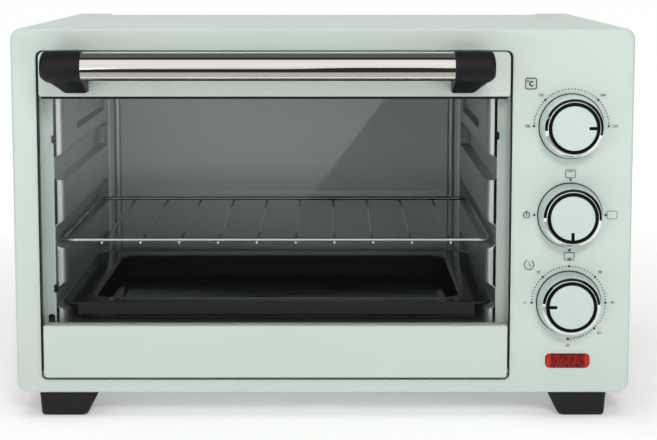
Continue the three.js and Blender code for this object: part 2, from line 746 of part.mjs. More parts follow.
add('cavity_left_wall', cavitySide(-1), 'zinc')
add('cavity_right_wall', cavitySide(1), 'zinc')
add('cavity_rear_wall', cavityRear(), 'zinc')
add('cavity_ceiling', cavityDeck(MOUTH_HIGH + GAP), 'zinc')
add('cavity_floor', cavityDeck(MOUTH_LOW - GAP - CAVITY_SHEET), 'zinc')
add('heat_shield', block([132, 132.7], [18, 292], [18.2, 262]), 'zinc')

for (const [level, z] of Object.entries(HEATER_Z)) {
  add(`heater_${level}_front`, heater(HEATER_Y[0], z), 'ceramic')
  add(`heater_${level}_rear`, heater(HEATER_Y[1], z), 'ceramic')
  add(`heater_holder_${level}_left`, heaterHolder(-1, z), 'ceramic')
  add(`heater_holder_${level}_right`, heaterHolder(1, z), 'ceramic')
}

add('door_glass', bar('y', railBox(GLASS_Z), 1, ...GLASS_Y), 'glass')
add('door_upper_rail', upperRail(), 'mint')
add('door_lower_rail', lowerRail(), 'mint')
add('handle_tube', turnedX(handleProfile, HANDLE_Y, HANDLE_Z), 'polished')
add('handle_bracket_left', handleBracket(-1), 'blackPlastic')
add('handle_bracket_right', handleBracket(1), 'blackPlastic')
add('hinge_pin_left', hingePin(-1), 'zinc')
add('hinge_pin_right', hingePin(1), 'zinc')
add('door_arm', doorArm(), 'zinc')
add('door_spring', doorSpring(), 'zinc')

for (const { name, z, pointer } of KNOBS) {
  add(`${name}_knob`, turnedY(KNOB_PROFILE, KNOB_X, z), 'mint')
  add(`${name}_knob_ring`, turnedY(RING_PROFILE, KNOB_X, z), 'polished')
  add(`${name}_knob_insert`, knobInsert(z, pointer), 'blackPlastic')
  add(`${name}_knob_cap`, knobCap(z, pointer), 'mint')
  add(`${name}_shaft`, turnedY(disc(SHAFT_R, 2.8 - KNOB_HEIGHT, BRACKET_PLATE_Y + 1), KNOB_X, z, 16), 'zinc')
}

add('control_bracket', controlBracket(), 'zinc')
add('thermostat_body', rotaryBody(KNOBS[0].z, 17, 14, 20, 2), 'brown')
add('function_switch_body', rotaryBody(KNOBS[1].z, 19, 19, 24, 4), 'brown')
add('timer_body', rotaryBody(KNOBS[2].z, 22, 24, 30, 2), 'zinc')
add('timer_bell', timerBell(), 'polished')
add('indicator_lens', indicatorLens(), 'red')
add('indicator_housing', indicatorHousing(), 'blackPlastic')
add('terminal_block', terminalBlock(), 'ceramic')
add('cord_gland', cordGland(), 'blackPlastic')
add('wire_rack', wireRack(), 'polished')
add('baking_tray', bakingTray(), 'enamel')

export default oven
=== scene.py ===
import json
import math

import bmesh
import bpy
import numpy as np
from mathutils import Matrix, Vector

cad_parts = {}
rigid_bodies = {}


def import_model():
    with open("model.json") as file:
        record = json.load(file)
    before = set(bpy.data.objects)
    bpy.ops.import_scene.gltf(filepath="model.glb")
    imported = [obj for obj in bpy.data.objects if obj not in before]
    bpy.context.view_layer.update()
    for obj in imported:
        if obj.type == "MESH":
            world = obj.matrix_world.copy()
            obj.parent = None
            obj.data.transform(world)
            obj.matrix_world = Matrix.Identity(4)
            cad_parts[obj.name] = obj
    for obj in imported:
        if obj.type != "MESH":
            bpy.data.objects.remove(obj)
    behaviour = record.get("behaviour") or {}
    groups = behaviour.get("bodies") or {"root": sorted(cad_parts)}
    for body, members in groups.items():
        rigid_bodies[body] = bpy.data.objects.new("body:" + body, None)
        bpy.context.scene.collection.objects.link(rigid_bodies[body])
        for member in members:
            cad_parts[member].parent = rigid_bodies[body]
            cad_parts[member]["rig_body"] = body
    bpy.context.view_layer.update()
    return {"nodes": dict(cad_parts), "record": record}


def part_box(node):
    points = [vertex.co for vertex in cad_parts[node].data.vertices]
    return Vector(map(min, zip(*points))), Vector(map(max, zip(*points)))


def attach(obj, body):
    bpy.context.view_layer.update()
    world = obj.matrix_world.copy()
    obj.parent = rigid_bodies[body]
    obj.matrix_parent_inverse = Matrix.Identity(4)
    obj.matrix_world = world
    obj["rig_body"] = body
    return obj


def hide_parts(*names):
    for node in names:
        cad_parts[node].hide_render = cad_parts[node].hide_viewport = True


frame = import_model()

# ---- Places and sizes ------------------------------------------------------------------------
# Millimetres: x from the middle, y from the front face, z from the worktop.

MM = 0.001
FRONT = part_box("front_panel")[0].y
SMOOTH_ANGLE = math.radians(32)
ARC_STEPS = 8
TURN_STEPS = 72


def span(node):
    """The x, y and z ranges of a CAD node, in millimetres from the front face."""
    low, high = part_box(node)
    shift = Vector((0, FRONT, 0))
    return tuple(zip((low - shift) / MM, (high - shift) / MM))


def middle(pair):
    return (pair[0] + pair[1]) / 2


PANEL = span("front_panel")
COVER = span("outer_cover")
GLASS = span("door_glass")
UPPER = span("door_upper_rail")
LOWER = span("door_lower_rail")
HANDLE = span("handle_tube")
LENS = span("indicator_lens")
RACK = span("wire_rack")
TRAY = span("baking_tray")
REAR_FACE = span("rear_panel")[1][1]

# Body.
FACE = (*PANEL[0], *PANEL[2])
CORNER_R = 8
FOLD_R = 2.6
PAN_DEPTH = 14.2
SHEET = 0.8
COVER_SHEET = 0.7
TOP_PANEL_X = (175.5, 179.5)
TOP_PANEL_Y = (40.5, 44.5)
SLOT_Z = (76, 222)

# Door recess and mouth of the cavity.
DOOR_X = middle(GLASS[0])
DOOR_HALF = GLASS[0][1] - DOOR_X
OPENING = (DOOR_X - DOOR_HALF - 1.5, DOOR_X + DOOR_HALF + 1.5, LOWER[2][0] - 1.4, UPPER[2][1] + 0.7)
OPENING_R = (4, 4, 4.5, 4.5)
OPENING_EDGE = 0.9
RECESS_Y = (11.6, 16)
RECESS_INSET = (0.3, 2.3)
MOUTH = (DOOR_X - 151.9, DOOR_X + 151.9, 46, 236)

# Cavity.
CAVITY_HALF = 144.4
CAVITY_REAR = 262
CAVITY_SHEET = 0.5
FLARE_Y = (17.1, 24.1)
GROOVES = ((73, 91), (116, 134), (163, 181))
HEATER_R = 3.25

# Door.
RAIL_SHEET = 1.4
GLASS_SLOT = (GLASS[1][0] - 0.3, GLASS[1][1] + 0.3)
BRACKET_R = 10.4
BRACKET_WIDTH = 26.3
BRACKET_LOW = 224.4
BRACKET_CUT = 238

# Controls.
KNOB_X = middle(span("timer_knob")[0])
KNOBS = {name: middle(span(name + "_knob")[2]) for name in ("temperature", "function", "timer")}
POINTER = {"temperature": 0, "function": 270, "timer": 180}
DIAL_R = 25.2
PRINT_Y = (-0.05, 0.1)


# ---- Mesh tools ------------------------------------------------------------------------------


def linked(name, data):
    """A new object in the scene."""
    obj = bpy.data.objects.new(name, data)
    bpy.context.scene.collection.objects.link(obj)
    return obj


def mesh_object(name, points, faces):
    """An object from points in millimetres, its faces turned outwards."""
    mesh = bpy.data.meshes.new(name)
    mesh.from_pydata([(x * MM, y * MM + FRONT, z * MM) for x, y, z in points], [], faces)
    clean = bmesh.new()
    clean.from_mesh(mesh)
    bmesh.ops.recalc_face_normals(clean, faces=clean.faces)
    clean.to_mesh(mesh)
    clean.free()
    return linked(name, mesh)


def grow(box, d):
    """The box (u0, u1, v0, v1), larger by d on each side."""
    return (box[0] - d, box[1] + d, box[2] - d, box[3] + d)


def shrink(radii, d):
    if isinstance(radii, tuple):
        return tuple(r - d for r in radii)
    return radii - d


def around(u, v, half_u, half_v):
    """The box with its middle at (u, v)."""
    return (u - half_u, u + half_u, v - half_v, v + half_v)


def smooth(value, low, high):
    """Rises from 0 at low to 1 at high, level at both."""
    t = np.clip((value - low) / (high - low), 0, 1)
    return t * t * (3 - 2 * t)


def quarter(start, end, steps=5):
    """Pairs that go from (1, 0) to (0, 1) round a quarter circle, in reverse if asked."""
    angles = math.pi / 2 * np.linspace(start, end, steps + 1)
    return [(math.cos(angle), math.sin(angle)) for angle in angles]


def outline(box, radii, steps=ARC_STEPS):
    """Rounded rectangle (u0, u1, v0, v1) as points, from its low corner round."""
    u0, u1, v0, v1 = box
    r = radii if isinstance(radii, tuple) else (radii,) * 4
    r = [max(value, 0.02) for value in r]
    corners = (
        (u0 + r[0], v0 + r[0], r[0], 180),
        (u1 - r[1], v0 + r[1], r[1], 270),
        (u1 - r[2], v1 - r[2], r[2], 0),
        (u0 + r[3], v1 - r[3], r[3], 90),
    )
    points = []
    for cu, cv, radius, start in corners:
        for k in range(steps + 1):
            angle = math.radians(start + 90 * k / steps)
            points.append((cu + radius * math.cos(angle), cv + radius * math.sin(angle)))
    return points


def at_x(x, flat):
    return [(x, u, v) for u, v in flat]


def at_y(y, flat):
    return [(u, y, v) for u, v in flat]


def at_z(z, flat):
    return [(u, v, z) for u, v in flat]


def lofted(name, rings, closed=False):
    """Skin through rings of equal length: a loop of rings if closed, else with flat ends."""
    n = len(rings[0])
    points = [p for ring in rings for p in ring]
    faces = []
    for k in range(len(rings) if closed else len(rings) - 1):
        a = k * n
        b = (k + 1) % len(rings) * n
        for i in range(n):
            j = (i + 1) % n
            faces.append((a + i, a + j, b + j, b + i))
    if not closed:
        faces.append(tuple(range(n)))
        faces.append(tuple(range(len(points) - n, len(points))))
    return mesh_object(name, points, faces)


def slab_rings(place, box, radii, start, end, fold, end_fold):
    """Rings of a plate whose edges are rounded by fold at its start and end_fold at its end."""
    way = 1 if end > start else -1
    rings = []
    for edge, base, turn in ((fold, start, way), (end_fold, end, -way)):
        arc = []
        pairs = quarter(0, 1) if edge else [(1, 0)]
        for c, s in pairs:
            inset = edge * (1 - s)
            along = base + turn * edge * (1 - c)
            arc.append(place(along, outline(grow(box, -inset), shrink(radii, inset))))
        rings.append(arc)
    return rings[0] + rings[1][::-1]


def slab(name, place, box, radii, start, end, fold=0.0, end_fold=0.0):
    return lofted(name, slab_rings(place, box, radii, start, end, fold, end_fold))


def framed(name, outer, inner, near, far):
    """Solid between two outlines, from one depth to another."""
    rings = [at_y(near, outer), at_y(far, outer), at_y(far, inner), at_y(near, inner)]
    return lofted(name, rings, closed=True)


def circle(place, centre, radius, along, steps=TURN_STEPS):
    angles = [2 * math.pi * k / steps for k in range(steps)]
    flat = [(centre[0] + radius * math.cos(a), centre[1] + radius * math.sin(a)) for a in angles]
    return place(along, flat)


def turned(name, place, centre, profile, closed=False, steps=TURN_STEPS):
    """Solid turned about an axis through centre, from (radius, place along the axis) pairs."""
    return lofted(name, [circle(place, centre, r, along, steps) for r, along in profile], closed)


def rounded_profile(corners, radius, steps=4):
    """The closed profile with each corner cut by a small arc."""
    made = []
    for k, corner in enumerate(corners):
        here = np.array(corner, float)
        before = np.array(corners[k - 1], float) - here
        after = np.array(corners[(k + 1) % len(corners)], float) - here
        reach = min(radius, np.linalg.norm(before) * 0.45, np.linalg.norm(after) * 0.45)
        first = here + before / np.linalg.norm(before) * reach
        last = here + after / np.linalg.norm(after) * reach
        for i in range(steps + 1):
            t = i / steps
            made.append(tuple((1 - t) ** 2 * first + 2 * t * (1 - t) * here + t * t * last))
    return made


def hoop(name, centre, corners, radius):
    """Ring about a knob's axis, with its section's corners rounded."""
    return turned(name, at_y, centre, rounded_profile(corners, radius), closed=True)


def swept(name, path, radius, sides=12, closed=False):
    """Round wire along a path of points."""
    points = np.array(path, float)
    if closed:
        ahead = np.roll(points, -1, 0)
        behind = np.roll(points, 1, 0)
    else:
        ahead = np.vstack([points[1:], points[-1:]])
        behind = np.vstack([points[:1], points[:-1]])
    angles = [2 * math.pi * k / sides for k in range(sides)]
    rings = []
    for p, d in zip(points, ahead - behind):
        d = d / np.linalg.norm(d)
        side = np.cross(d, (0, 0, 1) if abs(d[2]) < 0.9 else (1, 0, 0))
        side /= np.linalg.norm(side)
        up = np.cross(side, d)
        rings.append([tuple(p + radius * (side * math.cos(a) + up * math.sin(a))) for a in angles])
    return lofted(name, rings, closed)


def evaluated(obj):
    """Applies the object's modifiers."""
    bpy.context.view_layer.update()
    graph = bpy.context.evaluated_depsgraph_get()
    mesh = bpy.data.meshes.new_from_object(obj.evaluated_get(graph))
    obj.modifiers.clear()
    obj.data = mesh
    return obj


def bevelled(obj, width, segments, angle):
    """Rounds the edges that turn by more than an angle in degrees."""
    bevel = obj.modifiers.new("bevel", "BEVEL")
    bevel.width = width * MM
    bevel.segments = segments
    bevel.limit_method = "ANGLE"
    bevel.angle_limit = math.radians(angle)
    return evaluated(obj)


def merged(name, parts):
    """One object from several."""
    whole = bmesh.new()
    for part in parts:
        whole.from_mesh(part.data)
        bpy.data.objects.remove(part)
    mesh = bpy.data.meshes.new(name)
    whole.to_mesh(mesh)
    whole.free()
    return linked(name, mesh)


def cut(obj, cutters):
    """Takes the cutters, which don't touch each other, out of the object."""
    tool = merged(obj.name + "_cutter", cutters)
    boolean = obj.modifiers.new("cut", "BOOLEAN")
    boolean.object = tool
    boolean.solver = "EXACT"
    evaluated(obj)
    bpy.data.objects.remove(tool)


def sheet_from_grid(name, grid, thickness):
    """Pressed sheet from a grid of points, given thickness on its far side."""
    columns = len(grid[0])
    points = [p for row in grid for p in row]
    faces = []
    for i in range(len(grid) - 1):
        for j in range(columns - 1):
            a = i * columns + j
            faces.append((a, a + 1, a + columns + 1, a + columns))
    obj = mesh_object(name, points, faces)
    solid = obj.modifiers.new("sheet", "SOLIDIFY")
    solid.thickness = abs(thickness) * MM
    solid.offset = math.copysign(1, thickness)
    return evaluated(obj)


def finished(obj, body, look, *nodes, slot=None):
    """Gives a piece its material and its CAD body, and hides the CAD nodes it stands for; the slot is not
    used.
    """
    obj.data.materials.clear()
    obj.data.materials.append(LOOKS[look])
    obj.data.shade_smooth()
    obj.data.set_sharp_from_angle(angle=SMOOTH_ANGLE)
    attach(obj, body)
    if nodes:
        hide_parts(*nodes)


# ---- Material tools --------------------------------------------------------------------------


class Nodes:
    """Shader nodes, added one by one to a material or a world."""

    def __init__(self, tree, coordinates):
        self.nodes = tree.nodes
        self.links = tree.links
        self.place = self.add("TexCoord").outputs[coordinates]

    def feed(self, socket, value):
        """Gives an input its value: another node's output, or a number or colour."""
        if isinstance(value, bpy.types.NodeSocket):
            self.links.new(value, socket)
        else:
            socket.default_value = value

    def add(self, kind, **inputs):
        """A node of a kind, with its inputs fed by name."""
        node = self.nodes.new("ShaderNode" + kind)
        for name, value in inputs.items():
            self.feed(node.inputs[name.replace("_", " ")], value)
        return node

    def calc(self, operation, *values):
        """The result of a Math node."""
        node = self.nodes.new("ShaderNodeMath")
        node.operation = operation
        for socket, value in zip(node.inputs, values):
            self.feed(socket, value)
        return node.outputs["Value"]

    def along(self, axis):
        return self.add("SeparateXYZ", Vector=self.place).outputs[axis]

    def ranged(self, source, low=0.0, high=1.0, start=0.3, stop=0.7):
        """The source's values from start to stop, spread over low to high."""
        ends = {"From_Min": start, "From_Max": stop, "To_Min": low, "To_Max": high}
        return self.add("MapRange", Value=source, **ends).outputs["Result"]


class Look(Nodes):
    """A material on the object's own coordinates."""

    def __init__(self, name, **sockets):
        self.material = bpy.data.materials.new(name)
        self.material.use_nodes = True
        super().__init__(self.material.node_tree, "Object")
        self.shader = self.nodes["Principled BSDF"]
        for socket, value in sockets.items():
            self.feed(self.shader.inputs[socket.replace("_", " ")], value)

    def noise(self, scale, detail=2.0, stretch=(1, 1, 1)):
        place = self.add("Mapping", Scale=stretch, Vector=self.place).outputs["Vector"]
        return self.add("TexNoise", Scale=scale, Detail=detail, Vector=place).outputs["Fac"]

    def cells(self, scale, output="Distance"):
        return self.add("TexVoronoi", Scale=scale, Vector=self.place).outputs[output]

    def colours(self, share, first, second):
        """Mix of two colours, each a tuple or another node's output."""
        node = self.nodes.new("ShaderNodeMix")
        node.data_type = "RGBA"
        self.feed(node.inputs["Factor"], share)
        for socket, colour in zip([s for s in node.inputs if s.type == "RGBA"], (first, second)):
            self.feed(socket, (*colour, 1) if isinstance(colour, tuple) else colour)
        return [s for s in node.outputs if s.type == "RGBA"][0]

    def paint(self, share, first, second):
        self.feed(self.shader.inputs["Base Color"], self.colours(share, first, second))

    def rough(self, source, low, high, start=0.3, stop=0.7):
        self.feed(self.shader.inputs["Roughness"], self.ranged(source, low, high, start, stop))

    def bump(self, source, strength, distance):
        """Adds a bump over those that are there, its distance in millimetres."""
        normal = self.shader.inputs["Normal"]
        node = self.add("Bump", Strength=strength, Distance=distance * MM, Height=source)
        if normal.is_linked:
            self.feed(node.inputs["Normal"], normal.links[0].from_socket)
        self.feed(normal, node.outputs["Normal"])

    def replace_shader(self, output):
        """Puts another shader in the place of the principled one."""
        self.nodes.remove(self.shader)
        self.feed(self.nodes["Material Output"].inputs["Surface"], output)


def linear(red, green, blue):
    """Linear colour from 0 to 255 display values."""
    made = []
    for value in (red, green, blue):
        v = value / 255
        made.append(v / 12.92 if v <= 0.04045 else ((v + 0.055) / 1.055) ** 2.4)
    return tuple(made)


# ---- Materials -------------------------------------------------------------------------------


def mint_enamel():
    look = Look("mint_enamel", Coat_Weight=0.12, Coat_Roughness=0.16)
    base = look.colours(look.ranged(look.noise(7, 3)), linear(197, 210, 203), linear(200, 213, 206))
    specks = look.ranged(look.cells(2600), 1, 0, 0.05, 0.16)
    look.paint(specks, base, linear(188, 203, 194))
    look.rough(look.noise(60, 3), 0.36, 0.44)
    look.bump(look.noise(1400, 2), 0.12, 0.02)
    look.bump(look.noise(190, 1), 0.1, 0.05)
    return look.material


def mint_plastic():
    look = Look("mint_plastic", Specular_IOR_Level=0.45)
    look.paint(look.ranged(look.noise(60, 2)), linear(195, 209, 206), linear(198, 212, 209))
    look.rough(look.noise(420, 3), 0.3, 0.38)
    look.bump(look.noise(2600, 2), 0.08, 0.01)
    return look.material


def zinc_steel():
    look = Look("zinc_steel", Metallic=1.0)
    spangle = look.ranged(look.cells(140, "Color"), 0, 1, 0, 1)
    look.paint(spangle, (0.42, 0.44, 0.45), (0.56, 0.58, 0.59))
    look.rough(look.noise(90, 4), 0.3, 0.48)
    look.bump(look.noise(700, 3), 0.08, 0.03)
    return look.material


def cavity_steel():
    """Dull rolled sheet, with painted highlights at its folds by the mouth and the rear wall, and painted
    light that makes the side walls lighter.
    """
    look = Look("cavity_steel", Metallic=0.85)
    cloud = look.ranged(look.noise(6, 0), 0, 1, 0, 1)
    base = look.colours(cloud, (0.34, 0.36, 0.37), (0.42, 0.445, 0.455))
    grain = look.ranged(look.noise(420, 2), 0, 1, 0, 1)
    rolled = look.colours(grain, base, (0.40, 0.425, 0.435))
    depth = look.along("Y")
    # Painted highlights: a lighter colour on the flared mouth fold and on the fold in front of the rear
    # wall.
    mouth_painted_highlight = look.ranged(depth, 0.2, 0, FRONT + 23 * MM, FRONT + 26 * MM)
    rear_fold_painted_highlight = look.ranged(depth, 0, 1, FRONT + 259 * MM, FRONT + 260.2 * MM)
    rear_wall = look.ranged(depth, 0, 1, FRONT + 261 * MM, FRONT + 261.5 * MM)
    bright = look.calc("MAXIMUM", look.calc("SUBTRACT", rear_fold_painted_highlight, rear_wall), mouth_painted_highlight)
    off = look.calc("ABSOLUTE", look.calc("SUBTRACT", look.along("X"), DOOR_X * MM))
    # Painted light: the side walls are given a lighter colour than the rest of the sheet.
    side = look.ranged(off, 0, 1, (CAVITY_HALF - 1) * MM, (CAVITY_HALF - 0.3) * MM)
    look.paint(bright, look.colours(side, rolled, (0.80, 0.83, 0.85)), (0.93, 0.95, 0.97))
    look.rough(look.noise(10, 1), 0.29, 0.35, 0.1, 0.9)
    look.bump(look.noise(18, 1), 0.08, 0.6)
    return look.material


def black_plastic():
    look = Look("black_plastic", Specular_IOR_Level=0.22)
    look.paint(look.ranged(look.noise(220, 3)), (0.008, 0.008, 0.009), (0.012, 0.012, 0.013))
    look.rough(look.noise(900, 2), 0.36, 0.5)
    look.bump(look.cells(1500), 0.2, 0.03)
    return look.material


def pane_glass():
    """Clear pane with a grey tint: see-through, with the reflection of a smooth surface."""
    look = Look("pane_glass")
    clear = look.add("BsdfTransparent", Color=(0.965, 0.975, 0.972, 1))
    gloss = look.add("BsdfGlossy", Roughness=0.0)
    grazing = look.calc("POWER", look.add("LayerWeight").outputs["Facing"], 5)
    smear = look.ranged(look.noise(16, 3), 0.94, 1.06, 0.1, 0.9)
    share = look.calc("MULTIPLY", look.ranged(grazing, 0.045, 0.9, 0, 1), smear)
    mix = look.add("MixShader", Fac=share)
    look.feed(mix.inputs[1], clear.outputs["BSDF"])
    look.feed(mix.inputs[2], gloss.outputs["BSDF"])
    look.replace_shader(mix.outputs["Shader"])
    return look.material


def polished_steel():
    look = Look("polished_steel", Metallic=1.0)
    streak = look.noise(900, 3, (0.01, 1, 1))
    look.paint(look.ranged(streak), (0.72, 0.70, 0.67), (0.82, 0.80, 0.77))
    look.rough(streak, 0.05, 0.085)
    look.bump(streak, 0.015, 0.01)
    return look.material


def chrome():
    look = Look("chrome", Metallic=1.0)
    look.paint(look.ranged(look.noise(40)), (0.76, 0.76, 0.77), (0.84, 0.84, 0.84))
    look.rough(look.noise(300, 3), 0.04, 0.09)
    look.bump(look.noise(240, 1), 0.03, 0.01)
    return look.material


def rack_wire():
    """Bright wire, painted darker towards the back of the oven as shade on the rear of the rack."""
    look = Look("rack_wire", Metallic=1.0)
    # Painted shade: the wire's colour darkens from the front rail towards the back.
    tint = look.ranged(look.along("Y"), 0, 1, FRONT + 32 * MM, FRONT + 50 * MM)
    shaded_wire = look.colours(look.ranged(look.noise(120, 3)), (0.28, 0.28, 0.28), (0.40, 0.40, 0.395))
    look.paint(tint, (0.78, 0.78, 0.77), shaded_wire)
    look.rough(look.noise(300, 3), 0.1, 0.2)
    look.bump(look.noise(500, 2), 0.05, 0.01)
    return look.material


def knob_black():
    look = Look("knob_black", Specular_IOR_Level=0.1)
    look.paint(look.ranged(look.noise(300, 3)), (0.002, 0.002, 0.002), (0.004, 0.004, 0.004))
    look.rough(look.noise(900, 2), 0.34, 0.46)
    look.bump(look.noise(2200, 2), 0.1, 0.01)
    return look.material


def black_enamel():
    """Flecked enamel, painted a little greyer along its edges as a highlight."""
    look = Look("black_enamel", Specular_IOR_Level=0.05)
    fleck = look.ranged(look.cells(1100), 1, 0, 0.04, 0.1)
    enamel = look.colours(fleck, (0.010, 0.010, 0.011), (0.035, 0.035, 0.036))
    # Painted highlight: convex edges, found by pointiness, get a lighter grey.
    edges = look.ranged(look.add("NewGeometry").outputs["Pointiness"], 0, 1, 0.51, 0.56)
    look.paint(edges, enamel, (0.042, 0.042, 0.043))
    look.rough(look.noise(90, 3), 0.08, 0.15)
    look.bump(look.noise(160, 2), 0.1, 0.05)
    return look.material


def heater_tube():
    look = Look("heater_tube", Metallic=1.0)
    stain = look.ranged(look.noise(35, 4, (0.6, 1, 1)))
    look.paint(stain, (0.20, 0.18, 0.17), (0.42, 0.38, 0.34))
    look.rough(look.noise(200, 3), 0.35, 0.55)
    look.bump(look.noise(800, 3), 0.1, 0.02)
    return look.material


def ceramic():
    look = Look("ceramic", Specular_IOR_Level=0.35)
    look.paint(look.ranged(look.noise(150, 4)), (0.66, 0.63, 0.55), (0.76, 0.73, 0.66))
    look.rough(look.noise(400, 2), 0.6, 0.8)
    look.bump(look.noise(1200, 3), 0.3, 0.04)
    return look.material


def brown_phenolic():
    look = Look("brown_phenolic")
    look.paint(look.ranged(look.noise(500, 5)), (0.10, 0.045, 0.025), (0.16, 0.075, 0.04))
    look.rough(look.noise(300, 2), 0.4, 0.55)
    look.bump(look.noise(900, 3), 0.15, 0.03)
    return look.material


def red_lens():
    """Dark ribbed middle between two bright red ends."""
    look = Look("red_lens", Specular_IOR_Level=0.22, Coat_Weight=0.05)
    bands = look.ranged(look.noise(520, 3, (1, 1, 0.45)), 0, 1, 0.35, 0.65)
    ribbed = look.colours(bands, (0.07, 0.005, 0.005), (0.34, 0.014, 0.012))
    low, high = LENS[0]
    across = look.along("X")
    left = look.ranged(across, 1, 0, (low + 4.6) * MM, (low + 6.2) * MM)
    right = look.ranged(across, 0, 1, (high - 6.2) * MM, (high - 4.6) * MM)
    look.paint(look.calc("MAXIMUM", left, right), ribbed, (0.52, 0.022, 0.018))
    look.rough(look.noise(700, 2), 0.12, 0.26)
    look.bump(look.cells(420), 0.3, 0.12)
    return look.material


def dial_ink():
    look = Look("dial_ink")
    look.paint(look.ranged(look.noise(900, 3)), (0.02, 0.026, 0.024), (0.045, 0.055, 0.05))
    look.rough(look.noise(600, 2), 0.4, 0.55)
    return look.material


MAKERS = (
    mint_enamel, mint_plastic, zinc_steel, cavity_steel, black_plastic, pane_glass, polished_steel,
    chrome, rack_wire, knob_black, black_enamel, heater_tube, ceramic, brown_phenolic, red_lens, dial_ink,
)
LOOKS = {make.__name__: make() for make in MAKERS}


# ---- Casing ----------------------------------------------------------------------------------


def front_panel():
    """Pan with a folded rim, sunk round the door to a flange with the oven's mouth in it."""
    rings = [at_y(PAN_DEPTH, outline(FACE, CORNER_R))]
    for c, s in quarter(0, 1):
        inset = FOLD_R * (1 - c)
        rings.append(at_y(FOLD_R * (1 - s), outline(grow(FACE, -inset), CORNER_R - inset)))
    for c, s in quarter(1, 0):
        out = OPENING_EDGE * (1 - s)
        rings.append(at_y(OPENING_EDGE * (1 - c), outline(grow(OPENING, out), shrink(OPENING_R, -out))))
    (near, far), (straight, slope) = RECESS_Y, RECESS_INSET
    for y, box, radii in (
        (near - 1, grow(OPENING, -straight), OPENING_R),
        (near + 0.6, grow(OPENING, -straight - 0.2), OPENING_R),
        (far - 0.8, grow(OPENING, 0.3 - slope), OPENING_R),
        (far, grow(OPENING, -slope - 0.4), OPENING_R),
        (far, grow(MOUTH, 0.5), 3),
        (far + 0.3, MOUTH, 3),
        (far + SHEET, MOUTH, 3),
        (far + SHEET, grow(OPENING, SHEET - slope - 0.2), OPENING_R),
        (near + SHEET, grow(OPENING, SHEET - straight), OPENING_R),
        (SHEET, grow(OPENING, SHEET), shrink(OPENING_R, -SHEET)),
        (SHEET, grow(FACE, -FOLD_R), CORNER_R - FOLD_R),
        (FOLD_R, grow(FACE, -SHEET), CORNER_R - SHEET),
        (PAN_DEPTH, grow(FACE, -SHEET), CORNER_R - SHEET),
    ):
        rings.append(at_y(y, outline(box, radii)))
    panel = lofted("front_panel_enamel", rings, closed=True)
    window = grow((*LENS[0], *LENS[2]), -1.7)
    arm = middle(span("door_arm")[0])
    window_cutter = slab("cutter", at_y, window, 3.2, -2, 4)
    arm_cutter = slab("cutter", at_y, (arm - 2.4, arm + 2.4, 50, 69), (1, 1, 2.4, 2.4), 14, 19)
    cut(panel, [window_cutter, arm_cutter])
    finished(panel, "case", "mint_enamel", "front_panel")


def cover_path():
    """Points of the cover's section, from the foot of its left side over the top."""
    left = COVER[0][0]
    low, top = COVER[2]
    path = [(left, z) for z in np.linspace(low, top - CORNER_R, 9)]
    for c, s in quarter(0, 1, 10)[1:]:
        path.append((left + CORNER_R * (1 - c), top - CORNER_R * (1 - s)))
    path += [(x, top) for x in (-183, -180, -179, -178, -177, -176, -172, -120, -60, 0)]
    return path + [(-x, z) for x, z in reversed(path[:-1])]


def outer_cover():
    """Wrapped sheet with a shallow panel pressed into its top and two rows of slots in each side."""
    near, far = COVER[1]
    path = cover_path()
    grid = []
    for y in (near, near + 3, 30, *range(40, 46), 50, *np.linspace(60, far, 13)):
        dip = smooth(y, *TOP_PANEL_Y)
        grid.append([(x, y, z - dip * (1 - smooth(abs(x), *TOP_PANEL_X))) for x, z in path])
    cover = sheet_from_grid("outer_cover_enamel", grid, -COVER_SHEET)
    slots = []
    for y in range(176, 267, 10):
        for z in SLOT_Z:
            for start, end in ((-215, -204), (204, 215)):
                slots.append(slab("slot", at_x, around(y, z, 2, 17), 2, start, end))
    cut(cover, slots)
    finished(cover, "case", "mint_enamel", "outer_cover")


def foot(node):
    """Moulded foot: upright outside, leaning in on the inner side, with a softly rounded sole."""
    (x0, x1), (y0, y1), (_, top) = span(node)
    rings = []
    for z, outside, inside, ends in (
        (0.0, 3.6, 11.4, 4.2),
        (0.3, 2.4, 10.0, 2.9),
        (1.0, 1.5, 8.6, 1.7),
        (2.2, 1.1, 7.3, 1.1),
        (3.5, 0.95, 6.6, 0.9),
        (top - 0.5, 0.05, 0.2, 0.05),
        (top, 0.5, 0.6, 0.5),
    ):
        low, high = (outside, inside) if x0 < 0 else (inside, outside)
        rings.append(at_z(z, outline((x0 + low, x1 - high, y0 + ends, y1 - ends), 2.2)))
    finished(lofted(node + "_moulded", rings), "case", "black_plastic", node)


# ---- Cavity ----------------------------------------------------------------------------------


def wall_depth(y, z):
    """How far a side wall is pressed outwards at a point, in millimetres."""
    flare = np.clip((FLARE_Y[1] - y) / (FLARE_Y[1] - FLARE_Y[0]), 0, 1)
    depth = 5.6 * (1 - np.sqrt(1 - flare**2))
    for low, high in GROOVES:
        shelf = smooth(z, low - 0.9, low + 0.5) * (1 - smooth(z, high - 4.5, high + 1))
        depth = np.maximum(depth, 7.3 * shelf * (1 - smooth(y, 243.8, 251)))
    alcove = smooth(z, 191, 194) * (1 - smooth(z, 203, 206)) * smooth(y, 78, 84) * (1 - smooth(y, 232, 238))
    return float(np.maximum(depth, 4 * alcove))


def cavity_side(name, side):
    """Side wall of the cavity with its pressed runners, flared out to the mouth."""
    start, straight = FLARE_Y
    ys = [*np.linspace(start, straight, 16)[:-1], *np.linspace(straight, CAVITY_REAR - 0.6, 140)]
    zs = np.linspace(MOUTH[2], MOUTH[3], 150)
    grid = [[(DOOR_X + side * (CAVITY_HALF + wall_depth(y, z)), y, z) for z in zs] for y in ys]
    wall = sheet_from_grid(name + "_pressed", grid, CAVITY_SHEET)
    finished(wall, "case", "cavity_steel", name)


